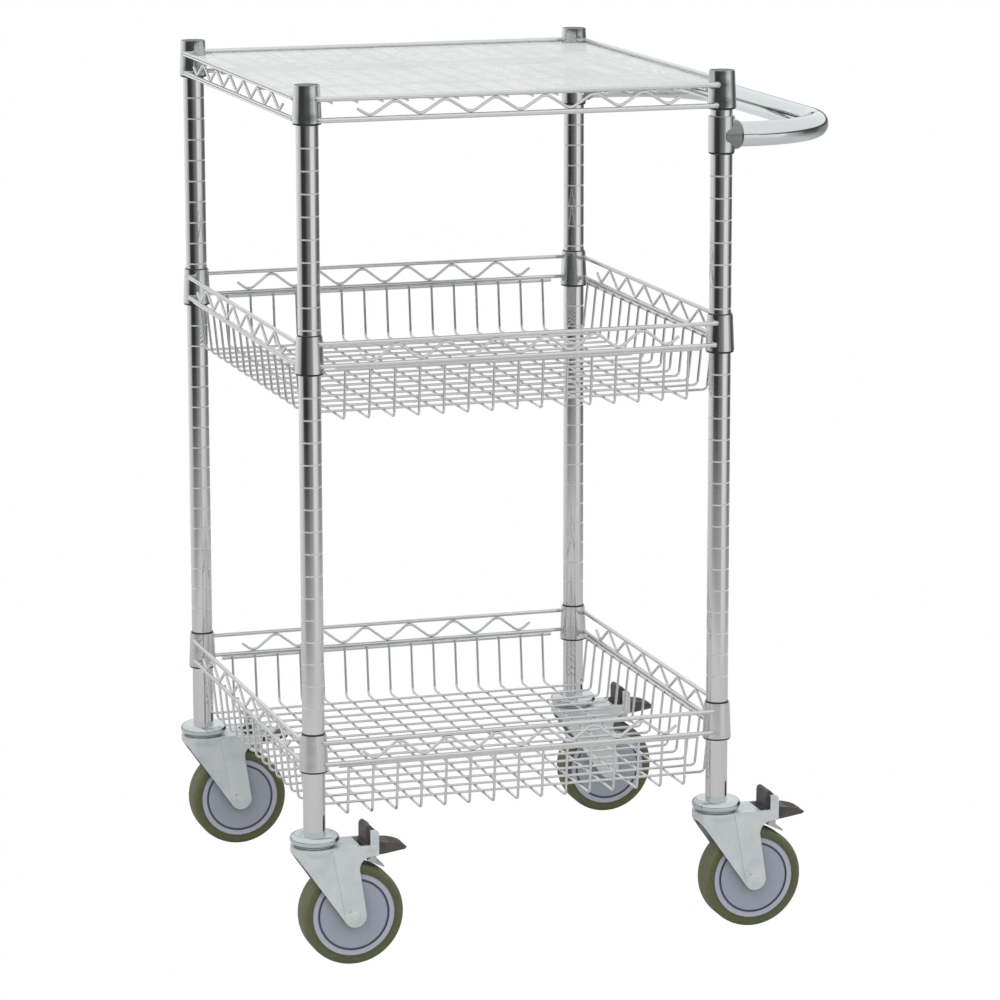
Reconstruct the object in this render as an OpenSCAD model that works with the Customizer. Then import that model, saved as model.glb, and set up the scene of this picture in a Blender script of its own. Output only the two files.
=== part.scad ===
// Rolling utility cart: four grooved posts carry a flat wire shelf and two wire baskets on
// split sleeves, with a push handle on the +X side and four swivel casters with brakes.
// Millimetres, +Z up. The origin is on the floor, under the middle of the outline.

/* [Frame] */
// Distance between the post axes, left to right
post_pitch_x = 487; // [400:1:900]
// Distance between the post axes, front to back
post_pitch_y = 528; // [400:1:900]
// Outer diameter of a post
post_d = 25.4; // [22:0.2:30]
// Wall thickness of a post
post_wall = 1.2; // [0.8:0.1:2]
// Height of the top of the posts above the floor
post_top_z = 1006.9; // [991.9:0.2:1006.9]
// Distance between the grooves in a post
groove_pitch = 25.4; // [20:0.2:25.4]
// Height of the lowest groove that a shelf can sit on
base_groove_z = 228.5; // [225:0.5:240]

/* [Shelves] */
// Grooves between the lowest tier and the middle tier
mid_steps = 18; // [14:1:18]
// Grooves between the middle tier and the top tier
top_steps = 11; // [9:1:11]
// Height of the metal part of a corner collar
collar_h = 41.8; // [38:0.2:44]
// Diameter of the rim rods of the top shelf
top_rod_d = 6; // [5:0.2:7]
// Diameter of the rim rods of the baskets
basket_rod_d = 5; // [4:0.2:6]
// Distance between the two rods of the top shelf's rim
top_rod_gap = 23.6; // [22:0.2:25]
// Distance between the two rods of a basket's rim
basket_rod_gap = 25; // [22:0.2:26]
// Wires in each wall of a basket
wall_wires = 15; // [11:2:19]
// Diameter of the basket and deck wires
wire_d = 3; // [2:0.1:3.4]
// Diameter of the zig-zag wires between the rods
truss_d = 3.4; // [2.6:0.1:4]
// Drop from the lower rim rod to the basket floor
basket_drop = 63.6; // [45:0.2:80]

/* [Handle] */
// Reach of the handle from the post axes to the middle of its grip
handle_reach = 151.4; // [120:0.2:190]
// Bend radius of the handle's corners
handle_bend = 112; // [60:1:115]
// Diameter of the handle tube
handle_d = 28.6; // [22:0.2:32]

/* [Casters] */
// Wheel diameter
wheel_d = 119; // [100:1:119]
// Width of the wheel
wheel_w = 32; // [26:1:34]
// Distance that the axle trails behind the swivel axis
trail = 41.5; // [35:0.5:43]
// Height of the top of the swivel race above the floor
race_top_z = 156; // [156:0.5:160]
// Radius of the swivel race
race_r = 28.5; // [26:0.5:30]

/* [Hidden] */
eps = 0.01;
weld = 0.3;
fine = 48;
wire_fn = 24;

// The outline runs from the left races to the grip, so its middle is right of the posts' middle
outline_left = -post_pitch_x / 2 - race_r;
outline_right = post_pitch_x / 2 + handle_reach + handle_d / 2;
frame_x = -(outline_left + outline_right) / 2;
post_r = post_d / 2;
left_x = frame_x - post_pitch_x / 2;
right_x = frame_x + post_pitch_x / 2;
front_y = -post_pitch_y / 2;
back_y = post_pitch_y / 2;
fl = [left_x, front_y];
fr = [right_x, front_y];
bl = [left_x, back_y];
br = [right_x, back_y];
corners = [fl, fr, bl, br];

// Tiers, each named by the groove that its sleeves sit on
low_z = base_groove_z;
mid_z = low_z + mid_steps * groove_pitch;
top_z = mid_z + top_steps * groove_pitch;
handle_z = top_z - 2 * groove_pitch;
groove_depth = 0.6;
groove_w = 1.8;
bare_steps_low = 2;
grooves_above_top = 1;

// Collars and sleeves
sleeve_lip = 2;
collar_top_r = 14.8;
collar_bottom_r = 16.7;
collar_wall = 1.3;
sleeve_fit = 0.02;
sleeve_flare = 0.5;
sleeve_split = 0.5;
handle_collar_r = 15.4;
handle_collar_h = 40.5;
handle_rise = 18.6;

// Rim rods run past the outer side of the collars
rod_out = 12.5;
top_rod_rise = 2.8;
basket_rod_rise = 8;
weld_gap = 0.04;

// Wires are spread evenly, at a pitch rounded to a tenth of a millimetre
function tenths(v) = round(10 * v) / 10;
wall_margin = 39.8;
wire_r = wire_d / 2;
pitch_x = tenths((post_pitch_x - 2 * wall_margin) / (wall_wires - 1));
pitch_y = tenths((post_pitch_y - 2 * wall_margin) / (wall_wires - 1));

// Basket walls: the hanger bar sits below and inside the lower rod
bar_in = 3.5;
bar_down = 3.6;
bar_margin = 12.5;
wall_lean = 6;
wall_bend = 6;
truss_bend = 11;
bead = 0.12;
bead_half = 0.7;
bead_gap = 0.05;
cross_rise = wire_d - weld;
deck_wires = wall_wires + 1;
liner_t = 1.2;
liner_gap = 0.5;
liner_notch_r = 19;

// Casters, in their own frame: stem axis at x = 0, wheel towards +X
wheel_r = wheel_d / 2;
axle_r = 4;
run_fit = 0.05;
race_bottom_z = race_top_z - 13.8;
race_lip = 1.2;
fork_top_z = race_bottom_z - 0.5;
fork_t = 2.8;
fork_half_w = 22.6;
fork_in = fork_half_w - fork_t;
fork_left = -26;
fork_corner_r = 14;
fork_right = trail + 28.5;
crown_right = trail + 7;
crown_r = 27.2;
crown_h = 7;
crown_step_h = 4.2;
crown_step = 1.4;
throat_r = 15;
leg_end_r = 13.3;
rib_left_top = 15;
rib_in = 1.1;
rib_low = 7;
rib_t = 0.9;
rib_top_z = race_top_z - 16.5;
ear_left = trail + 18.5;
ear_top_z = race_top_z + 3.2;
ear_low_z = race_top_z - 27;
leg_right_x = trail + 5.5;
dimple_r = 1.4;
dimple_left = 6.6;
dimple_up = 6.3;
king_r = 6;
king_head_r = 10;
stem_r = 5.5;
stem_top_z = race_top_z + 54;
pedal_pivot = [trail + 22.5, race_top_z - 19];
pedal_half_w = 15;
pin_r = 2.5;
shoe_in = 16;
shoe_out = 18;
shoe_t = 2.6;
shoe_left = [-6, -12];
shoe_right = [13, -21];
tread_round = 5.5;
rim_r = wheel_r - 2 * tread_round - 0.1;
disc_r = rim_r - 8.3;
groove_ring_r = rim_r - 6.2;
hub_r = 11;
hub_half_w = 19.4;

// Point where a line from p touches the circle (c, r), on the left (1) or right (-1) of the way to c
function touch(p, c, r, side) =
  let (d = c - p, len = norm(d), a = acos(r / len), base = atan2(-d[1], -d[0]))
  c + r * [cos(base + side * a), sin(base + side * a)];

// Places of n things spread evenly about the middle
function spread(n, pitch) = [for (i = [0 : n - 1]) (i - (n - 1) / 2) * pitch];

module along_x(length, d) {
  rotate([0, 90, 0]) cylinder(d = d, h = length, center = true, $fn = wire_fn);
}

module along_y(length, d) {
  rotate([90, 0, 0]) cylinder(d = d, h = length, center = true, $fn = wire_fn);
}

// ---------- posts ----------

// Heights of the grooves that are left open, from the lowest tier's own groove upwards
function groove_heights() = concat(
  [low_z, low_z + groove_pitch],
  [for (z = low_z + (bare_steps_low + 1) * groove_pitch;
    z < top_z + (grooves_above_top + 0.5) * groove_pitch; z = z + groove_pitch) z]
);

module post(place) {
  bore_r = post_r - post_wall;
  outline = concat(
    [[bore_r, race_top_z], [post_r, race_top_z]],
    [for (z = groove_heights()) each [
      [post_r, z - groove_w / 2],
      [post_r - groove_depth, z - groove_w / 4],
      [post_r - groove_depth, z + groove_w / 4],
      [post_r, z + groove_w / 2]
    ]],
    [[post_r, post_top_z], [bore_r, post_top_z]]
  );
  color("lightgray")
    translate([place[0], place[1], 0])
      rotate_extrude($fn = fine) polygon(outline);
}

module post_fl() { post(fl); }
module post_fr() { post(fr); }
module post_bl() { post(bl); }
module post_br() { post(br); }

module post_caps() {
  plug_r = post_r - post_wall;
  color("dimgray")
    for (place = corners)
      translate([place[0], place[1], post_top_z]) {
        cylinder(r1 = post_r, r2 = post_r - 0.8, h = 2, $fn = fine);
        translate([0, 0, -10]) cylinder(r = plug_r, h = 10 + eps, $fn = fine);
      }
}

// One tapered sleeve in two halves, with its lips above and below the collar
module sleeve(place, groove_z, height, top_lip, r_top, r_bottom) {
  translate([place[0], place[1], groove_z])
    difference() {
      union() {
        cylinder(r = r_bottom + sleeve_flare, h = sleeve_lip, $fn = fine);
        translate([0, 0, sleeve_lip - eps])
          cylinder(r1 = r_bottom, r2 = r_top, h = height + eps, $fn = fine);
        if (top_lip > 0)
          translate([0, 0, sleeve_lip + height - eps])
            cylinder(r = r_top, h = top_lip + eps, $fn = fine);
      }
      translate([0, 0, -1]) cylinder(r = post_r + sleeve_fit, h = height + 8, $fn = fine);
      translate([-sleeve_split / 2, -30, -1]) cube([sleeve_split, 60, height + 8]);
    }
}

module tier_sleeves(tier_z, top_lip) {
  r_top = collar_top_r - collar_wall - sleeve_fit;
  r_bottom = collar_bottom_r - collar_wall - sleeve_fit;
  color("black")
    for (place = corners) sleeve(place, tier_z, collar_h, top_lip, r_top, r_bottom);
}

module low_sleeves() { tier_sleeves(low_z, 1.6); }
module mid_sleeves() { tier_sleeves(mid_z, 1); }

// The top tier's sleeves, and those of the handle just below them
module top_sleeves() {
  handle_r = handle_collar_r - collar_wall - sleeve_fit;
  tier_sleeves(top_z, 0);
  color("black")
    for (place = [fr, br]) sleeve(place, handle_z, handle_collar_h, 0, handle_r, handle_r);
}

// ---------- collars, rim rods and trusses ----------

module collar_blank(place, tier_z) {
  translate([place[0], place[1], tier_z + sleeve_lip])
    cylinder(r1 = collar_bottom_r, r2 = collar_top_r, h = collar_h, $fn = fine);
}

module collars(tier_z) {
  color("lightgray")
    for (place = corners)
      difference() {
        collar_blank(place, tier_z);
        translate([place[0], place[1], tier_z + sleeve_lip - 1])
          cylinder(
            r1 = collar_bottom_r - collar_wall + (collar_bottom_r - collar_top_r) / collar_h,
            r2 = collar_top_r - collar_wall - (collar_bottom_r - collar_top_r) / collar_h,
            h = collar_h + 2, $fn = fine
          );
      }
}

// The four rods of one level; each stops where its centre line reaches the collars
module rod_level(tier_z, rise, d) {
  z = tier_z + sleeve_lip + rise;
  collar_r = collar_bottom_r - (collar_bottom_r - collar_top_r) * rise / collar_h;
  start = sqrt(collar_r * collar_r - rod_out * rod_out);
  difference() {
    union() {
      for (y = [front_y - rod_out, back_y + rod_out])
        translate([frame_x, y, z]) along_x(post_pitch_x - 2 * start, d);
      for (x = [left_x - rod_out, right_x + rod_out])
        translate([x, 0, z]) along_y(post_pitch_y - 2 * start, d);
    }
    for (place = corners) collar_blank(place, tier_z);
  }
}

module rods(tier_z, rise, gap, d) {
  color("silver") {
    rod_level(tier_z, rise, d);
    rod_level(tier_z, rise + gap, d);
  }
}

// A straight stretch of truss wire along X
module truss_run(from, to, d) {
  translate([from, 0, 0]) rotate([0, 90, 0]) cylinder(d = d, h = to - from, $fn = wire_fn);
}

// One bend of the zig-zag wire with half a slope on each side, opening upwards, in the XZ plane.
// Beads a hair thicker than the wire bridge the joins; end_beads is 1 where both ends are joined.
module bend_unit(pitch, height, end_beads) {
  drop = height - 2 * truss_bend;
  reach = norm([pitch, drop]);
  slope = atan2(drop, pitch) + asin(2 * truss_bend / reach);
  half_run = sqrt(reach * reach - 4 * truss_bend * truss_bend) / 2;
  end = half_run - bead_gap;
  translate([0, 0, truss_bend - height / 2]) {
    rotate([0, slope, 0]) {
      rotate([90, 0, 0])
        rotate_extrude(angle = 2 * slope, start = 270, $fn = fine)
          translate([truss_bend, 0]) circle(d = truss_d, $fn = wire_fn);
      translate([0, 0, -truss_bend]) truss_run(-end, 0, truss_d);
    }
    rotate([0, -slope, 0])
      translate([0, 0, -truss_bend]) {
        truss_run(bead_gap, end, truss_d);
        truss_run(-bead_half, bead_half, truss_d + bead);
      }
    if (end_beads > 0)
      for (side = [-1, 1])
        rotate([0, -side * slope, 0])
          translate([side * half_run, 0, -truss_bend])
            truss_run(-bead_half, bead_half, truss_d + bead);
  }
}

// A zig-zag wire along X that touches the lower and the upper rod in turn
module zigzag(pitch, height) {
  lows = floor(wall_wires / 2);
  for (x = spread(lows, 2 * pitch)) translate([x, 0, 0]) bend_unit(pitch, height, 0);
  for (x = spread(lows - 1, 2 * pitch))
    translate([x, 0, 0]) rotate([180, 0, 0]) bend_unit(pitch, height, 1);
}

module truss(tier_z, rise, gap, rod_d) {
  height = gap - rod_d - truss_d - weld_gap;
  z = tier_z + sleeve_lip + rise + gap / 2;
  color("silver") {
    for (y = [front_y - rod_out, back_y + rod_out])
      translate([frame_x, y, z]) zigzag(pitch_x, height);
    for (x = [left_x - rod_out, right_x + rod_out])
      translate([x, 0, z]) rotate([0, 0, 90]) zigzag(pitch_y, height);
  }
}

module top_collars() { collars(top_z); }
module mid_collars() { collars(mid_z); }
module low_collars() { collars(low_z); }
module top_rods() { rods(top_z, top_rod_rise, top_rod_gap, top_rod_d); }
module mid_rods() { rods(mid_z, basket_rod_rise, basket_rod_gap, basket_rod_d); }
module low_rods() { rods(low_z, basket_rod_rise, basket_rod_gap, basket_rod_d); }
module top_truss() { truss(top_z, top_rod_rise, top_rod_gap, top_rod_d); }
module mid_truss() { truss(mid_z, basket_rod_rise, basket_rod_gap, basket_rod_d); }
module low_truss() { truss(low_z, basket_rod_rise, basket_rod_gap, basket_rod_d); }

// ---------- top deck and liner ----------

top_rod_z = top_z + sleeve_lip + top_rod_rise + top_rod_gap;
deck_z = top_rod_z - top_rod_d / 2 - wire_r;

// Wires under the front and back rods, carried by two cross wires
module top_deck() {
  color("silver")
    union() {
      for (x = spread(deck_wires, pitch_x))
        translate([frame_x + x, 0, deck_z]) along_y(post_pitch_y + 2 * rod_out, wire_d);
      for (y = spread(2, post_pitch_y / 3))
        translate([frame_x, y, deck_z - wire_d + weld])
          along_x(post_pitch_x + 2 * rod_out - top_rod_d, wire_d);
    }
}

// A sheet that lies on the deck wires, inside the rim rods, with its corners cut round the posts
module top_liner() {
  inset = rod_out - top_rod_d / 2 - liner_gap;
  half_x = post_pitch_x / 2 + inset;
  half_y = post_pitch_y / 2 + inset;
  color("whitesmoke", 0.6)
    translate([0, 0, deck_z + wire_r])
      linear_extrude(liner_t)
        difference() {
          translate([frame_x - half_x, -half_y]) square([2 * half_x, 2 * half_y]);
          for (place = corners) translate(place) circle(r = liner_notch_r, $fn = fine);
          for (sx = [-1, 1], sy = [-1, 1])
            translate([frame_x + sx * post_pitch_x / 2, sy * post_pitch_y / 2])
              scale([sx, sy])
                square(2 * liner_notch_r);
        }
}

// ---------- baskets ----------

function bar_z(tier_z) = tier_z + sleeve_lip + basket_rod_rise - bar_down;
function floor_z(tier_z) = tier_z + sleeve_lip + basket_rod_rise - basket_drop;

// Inward distance, from the rod's axis, at which a wall wire's bend meets the floor
function bend_in(drop) =
  bar_in + basket_rod_d / 2 + wire_r - weld
  + (drop - wall_bend * (1 - sin(wall_lean))) * tan(wall_lean)
  + wall_bend * cos(wall_lean);

// A wall wire in the XZ plane: +X is inwards, and z = 0 is the hanger bar's axis
module wall_wire(drop) {
  over_bar = 2;
  straight = (drop - wall_bend * (1 - sin(wall_lean)) + over_bar) / cos(wall_lean);
  translate([bend_in(drop), 0, wall_bend - drop])
    rotate([0, -wall_lean, 0]) {
      rotate([90, 0, 0])
        rotate_extrude(angle = 90 - wall_lean, start = 180, $fn = fine)
          translate([wall_bend, 0]) circle(r = wire_r, $fn = wire_fn);
      translate([-wall_bend, 0, 0]) cylinder(r = wire_r, h = straight, $fn = wire_fn);
    }
}

// One basket wall along Y with its hanger bar; the rod's axis plane is x = 0, inwards is +X
module wall(pitch, drop) {
  color("silver")
    union() {
      translate([bar_in, 0, 0])
        along_y((wall_wires - 1) * pitch + 2 * bar_margin, basket_rod_d);
      for (y = spread(wall_wires, pitch)) translate([0, y, 0]) wall_wire(drop);
    }
}

module wall_front(tier_z) {
  translate([frame_x, front_y - rod_out, bar_z(tier_z)])
    rotate([0, 0, 90]) wall(pitch_x, basket_drop - bar_down);
}

module wall_back(tier_z) {
  translate([frame_x, back_y + rod_out, bar_z(tier_z)])
    rotate([0, 0, -90]) wall(pitch_x, basket_drop - bar_down);
}

module wall_left(tier_z) {
  translate([left_x - rod_out, 0, bar_z(tier_z)])
    wall(pitch_y, basket_drop - bar_down - cross_rise);
}

module wall_right(tier_z) {
  translate([right_x + rod_out, 0, bar_z(tier_z)])
    rotate([0, 0, 180]) wall(pitch_y, basket_drop - bar_down - cross_rise);
}

module basket_floor(tier_z) {
  length_y = post_pitch_y + 2 * (rod_out - bend_in(basket_drop - bar_down));
  length_x = post_pitch_x + 2 * (rod_out - bend_in(basket_drop - bar_down - cross_rise));
  color("silver")
    translate([frame_x, 0, floor_z(tier_z)])
      union() {
        for (x = spread(wall_wires, pitch_x)) translate([x, 0, 0]) along_y(length_y, wire_d);
        for (y = spread(wall_wires, pitch_y))
          translate([0, y, cross_rise]) along_x(length_x, wire_d);
      }
}

module mid_floor() { basket_floor(mid_z); }
module mid_wall_front() { wall_front(mid_z); }
module mid_wall_back() { wall_back(mid_z); }
module mid_wall_left() { wall_left(mid_z); }
module mid_wall_right() { wall_right(mid_z); }
module low_floor() { basket_floor(low_z); }
module low_wall_front() { wall_front(low_z); }
module low_wall_back() { wall_back(low_z); }
module low_wall_left() { wall_left(low_z); }
module low_wall_right() { wall_right(low_z); }

// ---------- handle ----------

handle_mid_z = handle_z + sleeve_lip + handle_rise;
boss_end = 22;
boss_r = 16.6;
handle_bore_r = handle_d / 2 - 1.5;

module tube_ring() {
  difference() {
    circle(d = handle_d, $fn = fine);
    circle(r = handle_bore_r, $fn = fine);
  }
}

module handle_tube() {
  arm = handle_reach - handle_bend - boss_end;
  grip = post_pitch_y - 2 * handle_bend;
  color("lightgray")
    translate([right_x, 0, handle_mid_z])
      union() {
        for (side = [-1, 1]) {
          translate([boss_end, side * post_pitch_y / 2, 0])
            rotate([0, 90, 0]) linear_extrude(arm) tube_ring();
          translate([handle_reach - handle_bend, side * grip / 2, 0])
            rotate_extrude(angle = 90, start = side > 0 ? 0 : 270, $fn = fine)
              translate([handle_bend, 0]) tube_ring();
        }
        translate([handle_reach, grip / 2, 0])
          rotate([90, 0, 0]) linear_extrude(grip) tube_ring();
      }
}

// A straight collar with the round boss that the tube is welded to
module handle_collars() {
  color("lightgray")
    for (place = [fr, br])
      difference() {
        union() {
          translate([place[0], place[1], handle_z + sleeve_lip])
            cylinder(r = handle_collar_r, h = handle_collar_h, $fn = fine);
          translate([place[0], place[1], handle_mid_z])
            rotate([0, 90, 0]) {
              cylinder(r = boss_r, h = boss_end - 3, $fn = fine);
              translate([0, 0, boss_end - 3 - eps])
                cylinder(r1 = boss_r, r2 = handle_d / 2, h = 3 + eps, $fn = fine);
            }
        }
        translate([place[0], place[1], handle_z])
          cylinder(r = handle_collar_r - collar_wall, h = handle_collar_h + 4, $fn = fine);
      }
}

// ---------- casters ----------

// Sockets in the post ends that grip the caster stems
module stem_inserts() {
  color("dimgray")
    for (place = corners)
      translate([place[0], place[1], race_top_z])
        difference() {
          cylinder(r = post_r - post_wall, h = 58, $fn = fine);
          translate([0, 0, -1]) cylinder(r = stem_r, h = 60, $fn = fine);
        }
}

// Stem, race and king pin in one turned piece; the pin's head holds the fork up
module race() {
  side_r = (race_top_z - race_bottom_z - race_lip) / 2;
  head_top_z = fork_top_z - fork_t - 0.3;
  color("lightsteelblue")
    rotate_extrude($fn = fine)
      union() {
        translate([0, race_bottom_z]) square([race_r - side_r, race_top_z - race_bottom_z]);
        translate([race_r - side_r, race_top_z - side_r]) circle(r = side_r, $fn = fine);
        translate([0, race_top_z - eps]) square([stem_r, stem_top_z - race_top_z + eps]);
        translate([0, head_top_z - eps])
          square([king_r, race_bottom_z - head_top_z + 2 * eps]);
        translate([0, head_top_z - 3]) square([king_head_r, 3]);
      }
}

// Side view of the fork: sloping legs, a throat that clears the tread, and ears for the pedal
module fork_side() {
  leg_end = [trail, wheel_r];
  left_low = [fork_left, fork_top_z - crown_h - 1];
  right_low = [leg_right_x, ear_low_z - throat_r];
  left_touch = touch(left_low, leg_end, leg_end_r, 1);
  right_touch = touch(right_low, leg_end, leg_end_r, -1);
  union() {
    polygon([
      left_low, left_touch, leg_end, right_touch, right_low, [leg_right_x, ear_low_z],
      [fork_right, ear_low_z], [fork_right, ear_top_z - 3], [fork_right - 3, ear_top_z],
      [ear_left, ear_top_z], [ear_left, fork_top_z], [fork_left, fork_top_z]
    ]);
    translate(leg_end) circle(r = leg_end_r, $fn = fine);
    difference() {
      translate(right_low - [eps, 0]) square(throat_r + eps);
      translate(right_low + [throat_r, 0]) circle(r = throat_r, $fn = fine);
    }
  }
}

// Outline of the raised panel on the outside of each leg, a little inside the leg's own edges
module rib_side() {
  polygon([
    [rib_left_top, rib_top_z], [leg_right_x - rib_in, rib_top_z],
    [leg_right_x - rib_in, ear_low_z - throat_r], [trail + leg_end_r - 2.6, wheel_r + leg_end_r],
    [trail + leg_end_r - 1.4, wheel_r], [trail + leg_end_r - 2.4, wheel_r - rib_low],
    [trail - leg_end_r + 2.4, wheel_r - rib_low]
  ]);
}

// Plan of the folded sheet: two legs joined by a rounded end on the left
module fork_plan(half_w, left, corner_r) {
  union() {
    translate([left + corner_r, -half_w]) square([fork_right - left - corner_r + 1, 2 * half_w]);
    translate([left, corner_r - half_w]) square([corner_r + 1, 2 * (half_w - corner_r)]);
    for (side = [-1, 1])
      translate([left + corner_r, side * (half_w - corner_r)]) circle(r = corner_r, $fn = fine);
  }
}

module fork() {
  color("lightsteelblue")
    difference() {
      union() {
        intersection() {
          linear_extrude(ear_top_z + 1)
            difference() {
              fork_plan(fork_half_w, fork_left, fork_corner_r);
              fork_plan(fork_in, fork_left + fork_t, fork_corner_r - fork_t);
            }
          rotate([90, 0, 0])
            linear_extrude(2 * fork_half_w + 2, center = true) fork_side();
        }
        translate([0, 0, fork_top_z - crown_h])
          difference() {
            union() {
              cylinder(r = crown_r - crown_step, h = crown_h, $fn = fine);
              translate([0, 0, crown_h - crown_step_h])
                cylinder(r = crown_r, h = crown_step_h, $fn = fine);
            }
            translate([0, 0, -1])
              cylinder(r = crown_r - fork_t, h = crown_h - fork_t + 1, $fn = fine);
          }
        translate([0, eps - fork_half_w, fork_top_z - fork_t])
          cube([crown_right, 2 * (fork_half_w - eps), fork_t]);
        for (side = [-1, 1])
          translate([0, side * (fork_half_w - eps + rib_t / 2), 0])
            rotate([90, 0, 0]) linear_extrude(rib_t, center = true) rib_side();
      }
      translate([0, 0, fork_top_z - 20]) cylinder(r = king_r + run_fit, h = 30, $fn = fine);
      translate([trail, 0, wheel_r]) along_y_pin(axle_r);
      translate([pedal_pivot[0], 0, pedal_pivot[1]]) along_y_pin(pin_r);
      for (side = [-1, 1])
        translate([trail - dimple_left, side * (fork_half_w + rib_t), wheel_r + dimple_up])
          rotate([90, 0, 0]) cylinder(r = dimple_r, h = 3, center = true, $fn = fine);
    }
}

module along_y_pin(r) {
  rotate([90, 0, 0]) cylinder(r = r, h = 80, center = true, $fn = fine);
}

// The axle and the pedal's pivot pin, each with shallow riveted heads
module pins() {
  rib_out = fork_half_w + rib_t;
  color("silver") {
    translate([trail, 0, wheel_r]) rivet(axle_r, rib_out, 5, 0.5);
    translate([pedal_pivot[0], 0, pedal_pivot[1]]) rivet(pin_r, fork_half_w, 3.5, 0.5);
  }
}

module rivet(r, half_length, head_r, head_t) {
  rotate([90, 0, 0]) {
    cylinder(r = r, h = 2 * half_length, center = true, $fn = fine);
    for (side = [0, 180])
      rotate([side, 0, 0])
        translate([0, 0, half_length - eps])
          cylinder(r1 = head_r, r2 = head_r - 0.5, h = head_t, $fn = fine);
  }
}

// Half of the wheel's section, mirrored about the middle plane; x is the radius
module wheel() {
  face = wheel_w / 2 - 1.4;
  groove = 1.6;
  color("slategray")
    translate([trail, 0, wheel_r])
      rotate([90, 0, 0])
        rotate_extrude($fn = 96)
          difference() {
            union() {
              translate([axle_r + run_fit, -hub_half_w])
                square([hub_r - axle_r - run_fit, 2 * hub_half_w]);
              translate([axle_r + run_fit, -face]) square([rim_r - axle_r - run_fit, 2 * face]);
            }
            for (side = [-1, 1])
              translate([disc_r, side > 0 ? face - groove : -face - 1])
                square([groove_ring_r - disc_r, groove + 1]);
          }
}

module tread() {
  color("darkolivegreen")
    translate([trail, 0, wheel_r])
      rotate([90, 0, 0])
        rotate_extrude($fn = 96)
          union() {
            translate([rim_r, -wheel_w / 2]) square([wheel_r - rim_r - tread_round, wheel_w]);
            translate([rim_r, tread_round - wheel_w / 2])
              square([wheel_r - rim_r, wheel_w - 2 * tread_round]);
            for (side = [-1, 1])
              translate([wheel_r - tread_round, side * (wheel_w / 2 - tread_round)])
                circle(r = tread_round, $fn = fine);
          }
}

// Rocker pedal: a thumb tab that stands up and a toe tab that points out
module pedal() {
  p = pedal_pivot;
  color("dimgray")
    difference() {
      union() {
        rotate([90, 0, 0])
          linear_extrude(2 * pedal_half_w, center = true)
            union() {
              translate(p) circle(r = 9, $fn = fine);
              polygon([
                p + [-8, 0], p + [-8, 21], p + [-7, 25], p + [-4.5, 26.5], p + [-2, 26],
                p + [5, 19], p + [6, 6], p
              ]);
              polygon([
                p + [0, 6], p + [24, 4], p + [32, 2], p + [38, -0.5], p + [41, -2.5],
                p + [39, -5], p + [12, -9], p + [0, -9]
              ]);
            }
        translate([p[0], 0, p[1]])
          rotate([90, 0, 0]) cylinder(r = 6, h = 2 * shoe_in, center = true, $fn = fine);
      }
      translate([p[0], 0, p[1]]) along_y_pin(pin_r + run_fit);
    }
}

// Brake shoe: a plate over the tread, hung from the pivot by an arm on each side
module shoe() {
  p = pedal_pivot;
  arm_t = shoe_out - shoe_in;
  color("gray")
    difference() {
      union() {
        for (side = [-1, 1])
          translate([0, side * (shoe_in + arm_t / 2), 0])
            rotate([90, 0, 0])
              linear_extrude(arm_t, center = true)
                union() {
                  translate(p) circle(r = 6, $fn = fine);
                  polygon([p + [-4, 0], p + [-4, -14], p + [4, -17.8], p + [4, 0]]);
                }
        rotate([90, 0, 0])
          linear_extrude(2 * shoe_out, center = true)
            polygon([
              p + shoe_left, p + shoe_left - [0, shoe_t], p + shoe_right - [0, shoe_t],
              p + shoe_right
            ]);
      }
      translate([p[0], 0, p[1]]) along_y_pin(pin_r + run_fit);
    }
}

module at(place) {
  translate([place[0], place[1], 0]) children();
}

module race_fl() { at(fl) race(); }
module fork_fl() { at(fl) fork(); }
module pins_fl() { at(fl) pins(); }
module wheel_fl() { at(fl) wheel(); }
module tread_fl() { at(fl) tread(); }
module pedal_fl() { at(fl) pedal(); }
module shoe_fl() { at(fl) shoe(); }
module race_fr() { at(fr) race(); }
module fork_fr() { at(fr) fork(); }
module pins_fr() { at(fr) pins(); }
module wheel_fr() { at(fr) wheel(); }
module tread_fr() { at(fr) tread(); }
module pedal_fr() { at(fr) pedal(); }
module shoe_fr() { at(fr) shoe(); }
module race_bl() { at(bl) race(); }
module fork_bl() { at(bl) fork(); }
module pins_bl() { at(bl) pins(); }
module wheel_bl() { at(bl) wheel(); }
module tread_bl() { at(bl) tread(); }
module pedal_bl() { at(bl) pedal(); }
module shoe_bl() { at(bl) shoe(); }
module race_br() { at(br) race(); }
module fork_br() { at(br) fork(); }
module pins_br() { at(br) pins(); }
module wheel_br() { at(br) wheel(); }
module tread_br() { at(br) tread(); }
module pedal_br() { at(br) pedal(); }
module shoe_br() { at(br) shoe(); }

post_fl();
post_fr();
post_bl();
post_br();
post_caps();
top_sleeves();
top_collars();
top_rods();
top_truss();
top_deck();
top_liner();
mid_sleeves();
mid_collars();
mid_rods();
mid_truss();
mid_floor();
mid_wall_front();
mid_wall_back();
mid_wall_left();
mid_wall_right();
low_sleeves();
low_collars();
low_rods();
low_truss();
low_floor();
low_wall_front();
low_wall_back();
low_wall_left();
low_wall_right();
handle_tube();
handle_collars();
stem_inserts();
race_fl();
fork_fl();
pins_fl();
wheel_fl();
tread_fl();
pedal_fl();
shoe_fl();
race_fr();
fork_fr();
pins_fr();
wheel_fr();
tread_fr();
pedal_fr();
shoe_fr();
race_bl();
fork_bl();
pins_bl();
wheel_bl();
tread_bl();
pedal_bl();
shoe_bl();
race_br();
fork_br();
pins_br();
wheel_br();
tread_br();
pedal_br();
shoe_br();
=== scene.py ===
"""The looks of the rolling utility cart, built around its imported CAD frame."""

import math

import bmesh
import bpy
from mathutils import Matrix, Vector, noise


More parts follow.
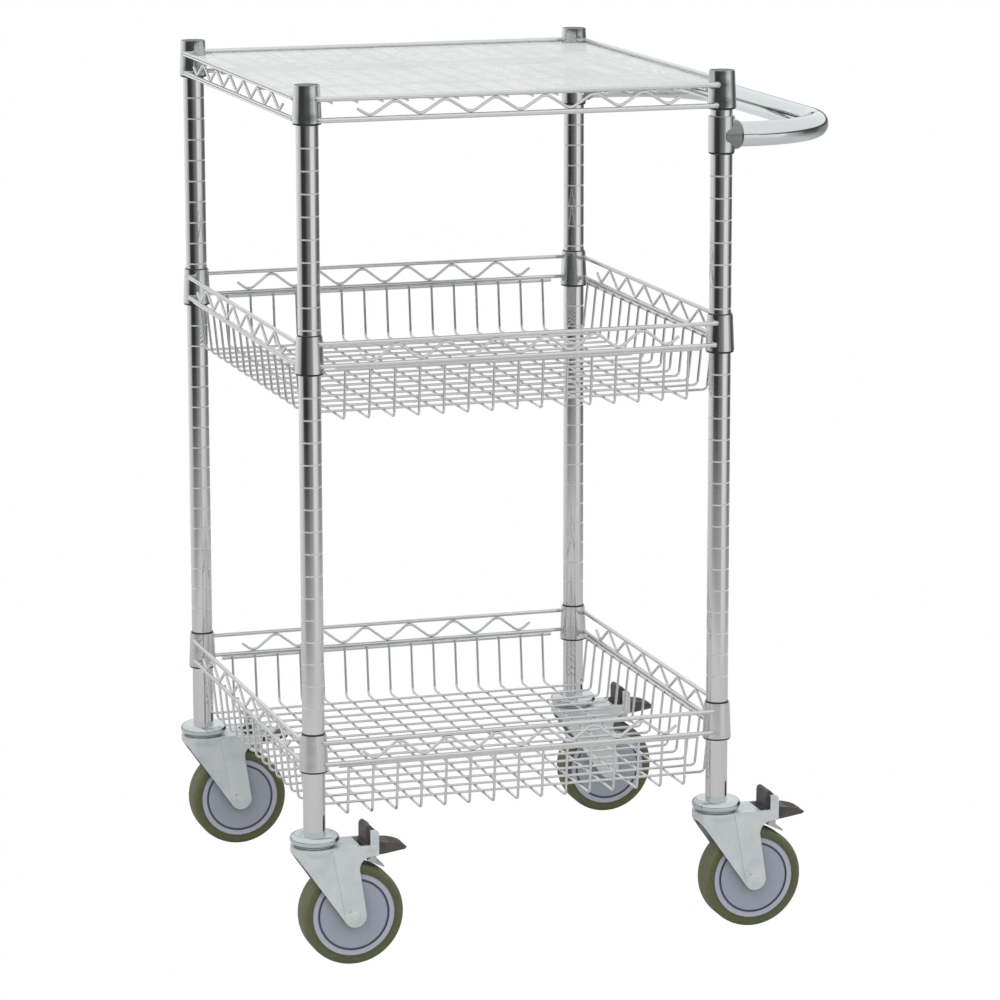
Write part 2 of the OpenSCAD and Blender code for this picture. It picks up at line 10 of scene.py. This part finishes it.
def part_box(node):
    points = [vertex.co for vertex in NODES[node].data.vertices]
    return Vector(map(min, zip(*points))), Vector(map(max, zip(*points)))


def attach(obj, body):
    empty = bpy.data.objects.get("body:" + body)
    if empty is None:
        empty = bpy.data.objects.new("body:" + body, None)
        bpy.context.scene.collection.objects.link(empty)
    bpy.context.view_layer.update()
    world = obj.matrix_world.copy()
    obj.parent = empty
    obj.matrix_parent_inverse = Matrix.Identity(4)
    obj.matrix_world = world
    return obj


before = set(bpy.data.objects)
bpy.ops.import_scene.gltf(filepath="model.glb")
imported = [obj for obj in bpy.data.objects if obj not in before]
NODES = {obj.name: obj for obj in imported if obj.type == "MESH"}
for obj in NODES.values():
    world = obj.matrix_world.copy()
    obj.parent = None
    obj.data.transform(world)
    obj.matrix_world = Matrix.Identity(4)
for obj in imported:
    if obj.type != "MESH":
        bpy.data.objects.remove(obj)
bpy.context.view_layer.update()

CORNERS = ("fl", "fr", "bl", "br")
TIERS = ("low", "mid", "top")
WHEEL_R = 0.0595


# ---------- places taken from the frame ----------


def centre(node):
    """The middle of a CAD node's box."""
    low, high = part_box(node)
    return (Vector(low) + Vector(high)) / 2


POSTS = {corner: centre("post_" + corner) for corner in CORNERS}
AXLES = {corner: centre("tread_" + corner) for corner in CORNERS}
FRAME_MID = (POSTS["fl"] + POSTS["br"]) / 2


# ---------- shader building blocks ----------

# Nearly all of a noise node's values lie between these two
NOISE_LOW, NOISE_HIGH = 0.3, 0.7


class Nodes:
    """Short calls that add nodes to a node tree and join them."""

    def __init__(self, tree):
        self.tree = tree

    def add(self, kind, **values):
        """Adds a node and sets its properties."""
        node = self.tree.nodes.new(kind)
        for key, value in values.items():
            setattr(node, key, value)
        return node

    def link(self, source, target):
        """Joins an output to an input."""
        self.tree.links.new(source, target)

    def feed(self, value, target):
        """Joins an output to an input, or gives the input a plain value."""
        if isinstance(value, bpy.types.NodeSocket):
            self.link(value, target)
        else:
            target.default_value = value

    def split(self, vector):
        """The X, Y and Z of a vector."""
        node = self.add("ShaderNodeSeparateXYZ")
        self.link(vector, node.inputs["Vector"])
        return tuple(node.outputs)

    def maths(self, operation, *values):
        """A sum on one or two values, each an output or a plain number."""
        node = self.add("ShaderNodeMath", operation=operation)
        for value, target in zip(values, node.inputs):
            self.feed(value, target)
        return node.outputs["Value"]

    def ramp(self, source, stops, interpolation="LINEAR"):
        """A colour ramp: stops are (position, grey or colour)."""
        node = self.add("ShaderNodeValToRGB")
        elements = node.color_ramp.elements
        node.color_ramp.interpolation = interpolation
        while len(elements) > 1:
            elements.remove(elements[-1])
        for index, (position, value) in enumerate(stops):
            element = elements[0] if index == 0 else elements.new(position)
            element.position = position
            color = value if isinstance(value, tuple) else (value, value, value)
            element.color = (*color, 1.0)
        self.link(source, node.inputs["Fac"])
        return node.outputs["Color"]

    def mix(self, share, first, second):
        """Blends from the first colour to the second."""
        node = self.add("ShaderNodeMix", data_type="RGBA")
        self.link(share, node.inputs["Factor"])
        colors = [socket for socket in node.inputs if socket.type == "RGBA"]
        self.feed(first, colors[0])
        self.feed(second, colors[1])
        return next(socket for socket in node.outputs if socket.type == "RGBA")


class Shader(Nodes):
    """A material with a Principled shader, worked over the object's own coordinates."""

    def __init__(self, name, color, metallic=0.0, roughness=0.5, alpha=1.0):
        self.material = bpy.data.materials.new(name)
        self.material.use_nodes = True
        super().__init__(self.material.node_tree)
        self.sockets = self.tree.nodes["Principled BSDF"].inputs
        self.sockets["Base Color"].default_value = (*color, 1.0)
        self.sockets["Metallic"].default_value = metallic
        self.sockets["Roughness"].default_value = roughness
        self.sockets["Alpha"].default_value = alpha
        self.coordinates = self.add("ShaderNodeTexCoord").outputs["Object"]

    def noise(self, scale, detail, stretch=(1, 1, 1)):
        """Noise from 0 to 1, in features per metre."""
        mapping = self.add("ShaderNodeMapping")
        mapping.inputs["Scale"].default_value = stretch
        self.link(self.coordinates, mapping.inputs["Vector"])
        node = self.add("ShaderNodeTexNoise")
        node.inputs["Scale"].default_value = scale
        node.inputs["Detail"].default_value = detail
        self.link(mapping.outputs["Vector"], node.inputs["Vector"])
        return node.outputs["Fac"]

    def tint(self, source, stops):
        """Colours the surface by a source, easing from stop to stop."""
        self.link(self.ramp(source, stops, "EASE"), self.sockets["Base Color"])

    def mottle(self, source, dark, middle, light):
        """Colours the surface in soft patches of three shades."""
        self.tint(source, [(NOISE_LOW, dark), (0.5, middle), (NOISE_HIGH, light)])

    def vary_roughness(self, scale, detail, low, high):
        """Patches of the surface run from low to high roughness."""
        node = self.add("ShaderNodeMapRange")
        node.inputs["From Min"].default_value = NOISE_LOW
        node.inputs["From Max"].default_value = NOISE_HIGH
        node.inputs["To Min"].default_value = low
        node.inputs["To Max"].default_value = high
        self.link(self.noise(scale, detail), node.inputs["Value"])
        self.link(node.outputs["Result"], self.sockets["Roughness"])

    def bump(self, source, height, strength):
        """Raises the surface by up to height, in metres; calls can be stacked."""
        node = self.add("ShaderNodeBump")
        node.inputs["Distance"].default_value = height
        node.inputs["Strength"].default_value = strength
        self.link(source, node.inputs["Height"])
        target = self.sockets["Normal"]
        if target.is_linked:
            self.link(target.links[0].from_socket, node.inputs["Normal"])
        self.link(node.outputs["Normal"], target)

    def grain(self, scale, detail, height, strength):
        """Raises the surface by noise."""
        self.bump(self.noise(scale, detail), height, strength)

    def distance_from_axle(self, corner):
        """Distance from a caster's axle, in metres."""
        x, _, z = self.split(self.coordinates)
        dx = self.maths("SUBTRACT", x, AXLES[corner].x)
        dz = self.maths("SUBTRACT", z, AXLES[corner].z)
        total = self.maths("ADD", self.maths("MULTIPLY", dx, dx), self.maths("MULTIPLY", dz, dz))
        return self.maths("SQRT", total)


# ---------- materials ----------

# Grains: features per metre, detail, height in metres, strength
RIPPLES = (70.0, 2.0, 0.00010, 0.25)
PLATING = (900.0, 2.0, 0.000006, 0.5)
PRESS_MARKS = (1400.0, 3.0, 0.00003, 0.5)
TURNING_MARKS = (1200.0, 2.0, 0.00002, 0.5)
SPARK_GRAIN = (1800.0, 3.0, 0.00004, 0.7)
TREAD_PITS = (900.0, 3.0, 0.00006, 0.5)
CORE_GRAIN = (1500.0, 2.0, 0.00003, 0.5)
SHEET_WAVES = (9.0, 1.0, 0.0006, 0.3)
SHEET_HAZE = (2600.0, 2.0, 0.00001, 0.4)


def chrome(name, color, roughness, spread):
    """Plated steel: a bright mirror with faint ripples, and small changes in how sharp it is."""
    shader = Shader(name, color, metallic=1.0, roughness=roughness)
    shader.vary_roughness(60.0, 4.0, roughness - spread, roughness + spread)
    shader.grain(*RIPPLES)
    shader.grain(*PLATING)
    return shader


POST_COLOR = (0.66, 0.67, 0.67)
# Paler colour painted along each ring groove: a painted highlight
GROOVE_HIGHLIGHT_COLOR = (0.80, 0.80, 0.79)
GROOVE_ROUGHNESS = 0.55
GROOVE_PITCH = 0.0254
GROOVE_HALF = 0.0009
# The posts are plain up to this many groove steps above the foot of the low sleeves
PLAIN_STEPS = 2.5


def post_chrome():
    """The posts' chrome, duller at each ring groove, with a painted highlight that tints each
    groove paler.
    """
    shader = chrome("post_chrome", POST_COLOR, 0.05, 0.015)
    height = shader.split(shader.coordinates)[2]
    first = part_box("low_sleeves")[0][2]
    steps = shader.maths("DIVIDE", shader.maths("SUBTRACT", height, first), GROOVE_PITCH)
    off = shader.maths("ABSOLUTE", shader.maths("SUBTRACT", steps, shader.maths("ROUND", steps)))
    near = shader.maths("LESS_THAN", off, GROOVE_HALF / GROOVE_PITCH)
    groove = shader.maths("MULTIPLY", near, shader.maths("GREATER_THAN", steps, PLAIN_STEPS))
    # Painted highlight: each ring groove is tinted paler than the rest of the post
    shader.tint(groove, [(0.0, POST_COLOR), (1.0, GROOVE_HIGHLIGHT_COLOR)])
    target = shader.sockets["Roughness"]
    plain = target.links[0].from_socket
    cut = shader.maths("MULTIPLY", groove, GROOVE_ROUGHNESS)
    shader.link(shader.maths("MAXIMUM", plain, cut), target)
    return shader.material


def zinc():
    """Bright zinc plating: pale, bluish, softly mottled, with fine press marks."""
    dark, middle, light = (0.55, 0.61, 0.64), (0.61, 0.66, 0.67), (0.66, 0.69, 0.67)
    shader = Shader("zinc", middle, metallic=0.6)
    shader.mottle(shader.noise(55.0, 5.0), dark, middle, light)
    shader.vary_roughness(240.0, 4.0, 0.28, 0.46)
    shader.grain(*PRESS_MARKS)
    return shader.material


def race_zinc():
    """The turned race: brighter and glossier than the pressed fork."""
    shader = Shader("race_zinc", (0.58, 0.63, 0.64), metallic=1.0)
    shader.vary_roughness(200.0, 3.0, 0.12, 0.22)
    shader.grain(*TURNING_MARKS)
    return shader.material


MOULDED_SHADES = 0.25
MOULDED_SPREAD = 0.08


def moulded(name, color, roughness):
    """Moulded plastic with a fine spark-eroded grain."""
    shader = Shader(name, color)
    dark = tuple(share * (1 - MOULDED_SHADES) for share in color)
    light = tuple(share * (1 + MOULDED_SHADES) for share in color)
    shader.mottle(shader.noise(90.0, 4.0), dark, color, light)
    shader.vary_roughness(300.0, 3.0, roughness - MOULDED_SPREAD, roughness + MOULDED_SPREAD)
    shader.grain(*SPARK_GRAIN)
    return shader.material


# The tread's colours by share of the wheel's radius
TREAD_BANDS = [(0.82, (0.06, 0.07, 0.03)), (0.95, (0.085, 0.095, 0.04)), (1.0, (0.11, 0.115, 0.06))]
TREAD_SCUFF = 0.05
MOULD_RINGS = 9000.0  # radians of ripple for each metre of radius


def tread_rubber(corner):
    """Olive rubber, scuffed paler where it rolls, with fine rings left by the mould."""
    shader = Shader("tread_rubber_" + corner, TREAD_BANDS[-1][1])
    radius = shader.distance_from_axle(corner)
    share = shader.maths("DIVIDE", radius, WHEEL_R)
    scuff = shader.maths("MULTIPLY", shader.noise(160.0, 5.0), TREAD_SCUFF)
    shader.tint(shader.maths("ADD", share, scuff), TREAD_BANDS)
    shader.vary_roughness(220.0, 4.0, 0.48, 0.72)
    rings = shader.maths("SINE", shader.maths("MULTIPLY", radius, MOULD_RINGS))
    shader.bump(rings, 0.00002, 0.4)
    shader.grain(*TREAD_PITS)
    return shader.material


NAVY, SLATE = (0.03, 0.035, 0.08), (0.12, 0.13, 0.18)
# The wheel core's colours by share of the wheel's radius: the disc, the groove with a navy line
# at each edge, and the rim
CORE_BANDS = [
    (0.0, (0.25, 0.28, 0.32)), (0.664, (0.29, 0.32, 0.37)), (0.673, NAVY), (0.684, SLATE),
    (0.698, SLATE), (0.709, NAVY), (0.718, (0.36, 0.37, 0.45)), (0.80, (0.42, 0.43, 0.51)),
]
CORE_STAIN = 0.004


def wheel_plastic(corner):
    """The wheel's centre: a lavender rim, a dark groove and a blue-grey disc."""
    shader = Shader("wheel_plastic_" + corner, CORE_BANDS[0][1])
    share = shader.maths("DIVIDE", shader.distance_from_axle(corner), WHEEL_R)
    stain = shader.maths("SUBTRACT", shader.noise(120.0, 4.0), 0.5)
    shader.tint(shader.maths("ADD", share, shader.maths("MULTIPLY", stain, CORE_STAIN)), CORE_BANDS)
    shader.vary_roughness(260.0, 3.0, 0.34, 0.5)
    shader.grain(*CORE_GRAIN)
    return shader.material


def liner_plastic():
    """The clear sheet: faintly frosted, slightly wavy, and partly see-through."""
    dark, middle, light = (0.66, 0.67, 0.68), (0.72, 0.73, 0.73), (0.77, 0.78, 0.78)
    shader = Shader("liner_plastic", middle, alpha=0.74)
    shader.mottle(shader.noise(7.0, 3.0, stretch=(1.0, 0.25, 1.0)), dark, middle, light)
    shader.vary_roughness(40.0, 4.0, 0.16, 0.3)
    shader.grain(*SHEET_WAVES)
    shader.grain(*SHEET_HAZE)
    return shader.material


POST_CHROME = post_chrome()
COLLAR_CHROME = chrome("collar_chrome", (0.62, 0.63, 0.63), 0.07, 0.02).material
WIRE_CHROME = chrome("wire_chrome", (0.68, 0.69, 0.69), 0.16, 0.04).material
HANDLE_CHROME = chrome("handle_chrome", (0.66, 0.70, 0.70), 0.06, 0.02).material
PIN_STEEL = chrome("pin_steel", (0.50, 0.53, 0.54), 0.32, 0.06).material
BOSS_METAL = chrome("boss_metal", (0.24, 0.25, 0.25), 0.3, 0.06).material
WELD_CHROME = chrome("weld_chrome", (0.60, 0.61, 0.61), 0.26, 0.06).material
ZINC = zinc()
RACE_ZINC = race_zinc()
BLACK_PLASTIC = moulded("black_plastic", (0.018, 0.018, 0.02), 0.42)
CAP_PLASTIC = moulded("cap_plastic", (0.09, 0.09, 0.095), 0.5)
PEDAL_PLASTIC = moulded("pedal_plastic", (0.062, 0.058, 0.053), 0.52)
LINER = liner_plastic()


# ---------- materials on the CAD nodes ----------

# Faces of the handle collars further than this from a post's axis belong to a boss
BOSS_FROM = 0.0157


def dress(node, material):
    """Gives a CAD node one material."""
    materials = NODES[node].data.materials
    materials.clear()
    materials.append(material)


def dress_bosses():
    """The handle's bosses, which stand out past the collars, are duller than the collars."""
    node = NODES["handle_collars"]
    node.data.materials.append(BOSS_METAL)
    post = POSTS["fr"]
    for polygon in node.data.polygons:
        middle = node.matrix_world @ polygon.center
        out = math.hypot(middle.x - post.x, abs(middle.y) - abs(post.y))
        if out > BOSS_FROM:
            polygon.material_index = 1


for corner in CORNERS:
    dress("post_" + corner, POST_CHROME)
    dress("race_" + corner, RACE_ZINC)
    dress("fork_" + corner, ZINC)
    dress("pins_" + corner, ZINC)
    dress("wheel_" + corner, wheel_plastic(corner))
    dress("tread_" + corner, tread_rubber(corner))
    dress("pedal_" + corner, PEDAL_PLASTIC)
    dress("shoe_" + corner, PIN_STEEL)
for tier in TIERS:
    dress(tier + "_sleeves", BLACK_PLASTIC)
    dress(tier + "_collars", COLLAR_CHROME)
    dress(tier + "_rods", WIRE_CHROME)
    dress(tier + "_truss", WIRE_CHROME)
for tier in ("low", "mid"):
    for part in ("floor", "wall_front", "wall_back", "wall_left", "wall_right"):
        dress(tier + "_" + part, WIRE_CHROME)
dress("top_deck", WIRE_CHROME)
dress("top_liner", LINER)
dress("post_caps", CAP_PLASTIC)
dress("stem_inserts", CAP_PLASTIC)
dress("handle_tube", HANDLE_CHROME)
dress("handle_collars", COLLAR_CHROME)
dress_bosses()


# ---------- welds and grip ribs ----------

ALONG_X, ALONG_Y = Vector((1, 0, 0)), Vector((0, 1, 0))
# How far the rods' lines pass outside the post axes
ROD_OUT = 0.0125
COLLAR_LOW_R, COLLAR_TAPER, COLLAR_H = 0.0167, 0.0019, 0.0418
# Each tier's rod radius, and the heights of its two rods above the collars' lower ends
RODS = {
    "low": (0.0025, (0.008, 0.033)),
    "mid": (0.0025, (0.008, 0.033)),
    "top": (0.003, (0.0028, 0.0264)),
}
# A weld's half length and radius, as shares of the rod's radius
SPOT_LENGTH, SPOT_WIDTH = 1.1, 1.18
SPOT_LUMPS = 0.14
LUMPS_PER_METRE = 700

# The pedal's pivot, from the point on the floor under its post
PEDAL_PIVOT = Vector((0.064, 0.0, 0.137))
RIB_R = 0.0008
RIB_HALF = 0.0125
RIB_SEGMENTS, RIB_RINGS = 12, 8
RIB_SQUARENESS = 0.5
# Places of the ribs on the toe tab, from the pivot
RIBS = [(0.0235, 0.0042), (0.0270, 0.0033), (0.0305, 0.0024), (0.0340, 0.0012), (0.0372, -0.0003)]


def add_piece(name, builder, material, body):
    """Ends a mesh, smooths it, and fixes it to a body."""
    mesh = bpy.data.meshes.new(name)
    builder.to_mesh(mesh)
    builder.free()
    mesh.shade_smooth()
    mesh.materials.append(material)
    piece = bpy.data.objects.new(name, mesh)
    bpy.context.scene.collection.objects.link(piece)
    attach(piece, body)


def add_spot(builder, place, along, radius):
    """A lumpy bead of weld around the end of a rod that runs along an axis."""
    long, wide = radius * SPOT_LENGTH, radius * SPOT_WIDTH
    shape = Matrix.Translation(place)
    shape = shape @ ALONG_X.rotation_difference(along).to_matrix().to_4x4()
    shape = shape @ Matrix.Diagonal((long, wide, wide, 1))
    made = bmesh.ops.create_icosphere(builder, subdivisions=2, radius=1.0, matrix=shape)
    for vert in made["verts"]:
        lump = noise.noise(vert.co * LUMPS_PER_METRE) * SPOT_LUMPS
        vert.co += (vert.co - place) * lump


def make_welds(tier):
    """The beads that join the rods to one tier's collars."""
    low = Vector(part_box(tier + "_collars")[0])
    radius, rises = RODS[tier]
    builder = bmesh.new()
    for corner in CORNERS:
        post = POSTS[corner]
        side_y = -1 if corner[0] == "f" else 1
        side_x = -1 if corner[1] == "l" else 1
        for rise in rises:
            collar_r = COLLAR_LOW_R - COLLAR_TAPER * rise / COLLAR_H
            start = math.sqrt(collar_r ** 2 - ROD_OUT ** 2)
            z = low.z + rise
            place = Vector((post.x - side_x * start, post.y + side_y * ROD_OUT, z))
            add_spot(builder, place, ALONG_X, radius)
            place = Vector((post.x + side_x * ROD_OUT, post.y - side_y * start, z))
            add_spot(builder, place, ALONG_Y, radius)
    add_piece(tier + "_welds", builder, WELD_CHROME, "frame")


def make_grip_ribs(corner):
    """Low, square-ended ribs across the toe tab of a brake pedal."""
    pivot = Vector((POSTS[corner].x, POSTS[corner].y, 0.0)) + PEDAL_PIVOT
    builder = bmesh.new()
    for x, z in RIBS:
        shape = Matrix.Translation(pivot + Vector((x, 0, z)))
        shape = shape @ Matrix.Diagonal((RIB_R, RIB_HALF, RIB_R, 1))
        made = bmesh.ops.create_uvsphere(
            builder, u_segments=RIB_SEGMENTS, v_segments=RIB_RINGS, radius=1.0, matrix=shape
        )
        for vert in made["verts"]:
            reach = (vert.co.y - pivot.y) / RIB_HALF
            vert.co.y = pivot.y + RIB_HALF * math.copysign(abs(reach) ** RIB_SQUARENESS, reach)
    add_piece("grip_ribs_" + corner, builder, PEDAL_PLASTIC, "brake_" + corner)


for tier in TIERS:
    make_welds(tier)
for corner in CORNERS:
    make_grip_ribs(corner)


# ---------- studio ----------

CAMERA_AZIMUTH = math.radians(-17.557)
CAMERA_ELEVATION = math.radians(11.557)
CAMERA_ROLL = math.radians(0.112)
CAMERA_DISTANCE = 5.2789
CAMERA_LENS = 158.27
CAMERA_SENSOR = 36.0
CAMERA_TARGET = Vector((-0.0063, 0.0, 0.4719))
SIGHT_LIMIT = 100.0

FLOOR_SIDES = 96
FLOOR_REACH = 4.0
FLOOR_DROP = 0.0005
# How solid the floor is, by share of its radius
FLOOR_FADE = [(0.37, 1.0), (0.5, 0.55), (0.62, 0.38), (0.8, 0.1), (0.95, 0.0)]

WHITE = (1.0, 1.0, 1.0, 1.0)
# Brightness of the studio's walls by bearing in degrees, where 0 is the front and the right side
# is positive: white behind, grey at the left, a black flag at the front left, a white softbox at
# the front right, and dark grey at the right and back right.
WALLS = [
    (-180, 1.0), (-128, 1.0), (-118, 0.8), (-104, 0.7), (-95, 0.6), (-86, 0.36), (-81, 0.09),
    (-70, 0.05), (-48, 0.04), (-34, 0.09), (-24, 0.17), (-8, 0.24), (5, 0.36), (11, 0.48),
    (17, 0.92), (26, 1.0), (52, 1.0), (60, 0.62), (76, 0.36), (84, 0.12), (104, 0.11),
    (114, 0.25), (140, 0.32), (160, 0.7), (180, 1.0),
]
# A dark band at the horizon parts the walls from the white ceiling. Heights run from 0 straight
# down to 1 straight up.
HORIZON = [(0.482, 0.0), (0.492, 1.0)]
CEILING = [(0.525, 0.0), (0.56, 1.0)]
HORIZON_COLOR = (0.07, 0.075, 0.075, 1.0)

# Name, azimuth and elevation in degrees, distance and size in metres, power in watts
LIGHTS = [
    ("key", -50, 50, 3.2, 2.0, 30),
    ("fill", 40, 30, 3.6, 2.4, 12),
    ("front", -10, 12, 4.2, 2.4, 14),
]


def toward(azimuth, elevation):
    """The direction from the object to a place seen at that azimuth and elevation."""
    flat = math.cos(elevation)
    return Vector((math.sin(azimuth) * flat, -math.cos(azimuth) * flat, math.sin(elevation)))


def make_camera():
    """The camera, which faces its target from its azimuth and elevation."""
    data = bpy.data.cameras.new("camera")
    data.lens = CAMERA_LENS
    data.sensor_width = CAMERA_SENSOR
    data.clip_end = SIGHT_LIMIT
    camera = bpy.data.objects.new("camera", data)
    bpy.context.scene.collection.objects.link(camera)
    back = toward(CAMERA_AZIMUTH, CAMERA_ELEVATION)
    turn = (-back).to_track_quat("-Z", "Y").to_matrix().to_4x4()
    place = Matrix.Translation(CAMERA_TARGET + back * CAMERA_DISTANCE)
    camera.matrix_world = place @ turn @ Matrix.Rotation(-CAMERA_ROLL, 4, "Z")
    bpy.context.scene.camera = camera


def make_floor():
    """A pale round floor that lights the cart from below, unseen by the camera itself."""
    mesh = bpy.data.meshes.new("floor")
    builder = bmesh.new()
    bmesh.ops.create_circle(builder, cap_ends=True, segments=FLOOR_SIDES, radius=FLOOR_REACH)
    builder.to_mesh(mesh)
    builder.free()
    floor = bpy.data.objects.new("floor", mesh)
    floor.location.z = -FLOOR_DROP
    bpy.context.scene.collection.objects.link(floor)
    floor.visible_camera = False
    shader = Shader("floor_paint", (0.60, 0.59, 0.59), roughness=0.9)
    distance = shader.add("ShaderNodeVectorMath", operation="LENGTH")
    shader.link(shader.coordinates, distance.inputs[0])
    share = shader.maths("DIVIDE", distance.outputs["Value"], FLOOR_REACH)
    shader.link(shader.ramp(share, FLOOR_FADE), shader.sockets["Alpha"])
    mesh.materials.append(shader.material)


def make_world():
    """Plain white behind the cart, and a studio of walls, dark band and ceiling round it."""
    world = bpy.data.worlds.new("studio")
    bpy.context.scene.world = world
    world.use_nodes = True
    world.node_tree.nodes.clear()
    studio = Nodes(world.node_tree)
    x, y, z = studio.split(studio.add("ShaderNodeTexCoord").outputs["Generated"])
    bearing = studio.maths("ARCTAN2", x, studio.maths("MULTIPLY", y, -1.0))
    turn = studio.maths("ADD", studio.maths("DIVIDE", bearing, 2 * math.pi), 0.5)
    height = studio.maths("ADD", studio.maths("MULTIPLY", z, 0.5), 0.5)
    seen = studio.ramp(turn, [(angle / 360 + 0.5, value) for angle, value in WALLS])
    seen = studio.mix(studio.ramp(height, HORIZON), seen, HORIZON_COLOR)
    seen = studio.mix(studio.ramp(height, CEILING), seen, WHITE)
    seen = studio.mix(studio.add("ShaderNodeLightPath").outputs["Is Camera Ray"], seen, WHITE)
    background = studio.add("ShaderNodeBackground")
    studio.link(seen, background.inputs["Color"])
    output = studio.add("ShaderNodeOutputWorld")
    studio.link(background.outputs["Background"], output.inputs["Surface"])


def make_light(name, azimuth, elevation, distance, size, power):
    """A square soft light that faces the object."""
    data = bpy.data.lights.new(name, "AREA")
    data.shape = "SQUARE"
    data.size = size
    data.energy = power
    light = bpy.data.objects.new(name, data)
    bpy.context.scene.collection.objects.link(light)
    direction = toward(math.radians(azimuth), math.radians(elevation))
    light.location = FRAME_MID + direction * distance
    light.rotation_euler = (-direction).to_track_quat("-Z", "Y").to_euler()
    light.visible_glossy = False


make_camera()
make_floor()
make_world()
for light in LIGHTS:
    make_light(*light)

view = bpy.context.scene.view_settings
view.view_transform = "Standard"
view.look = "None"
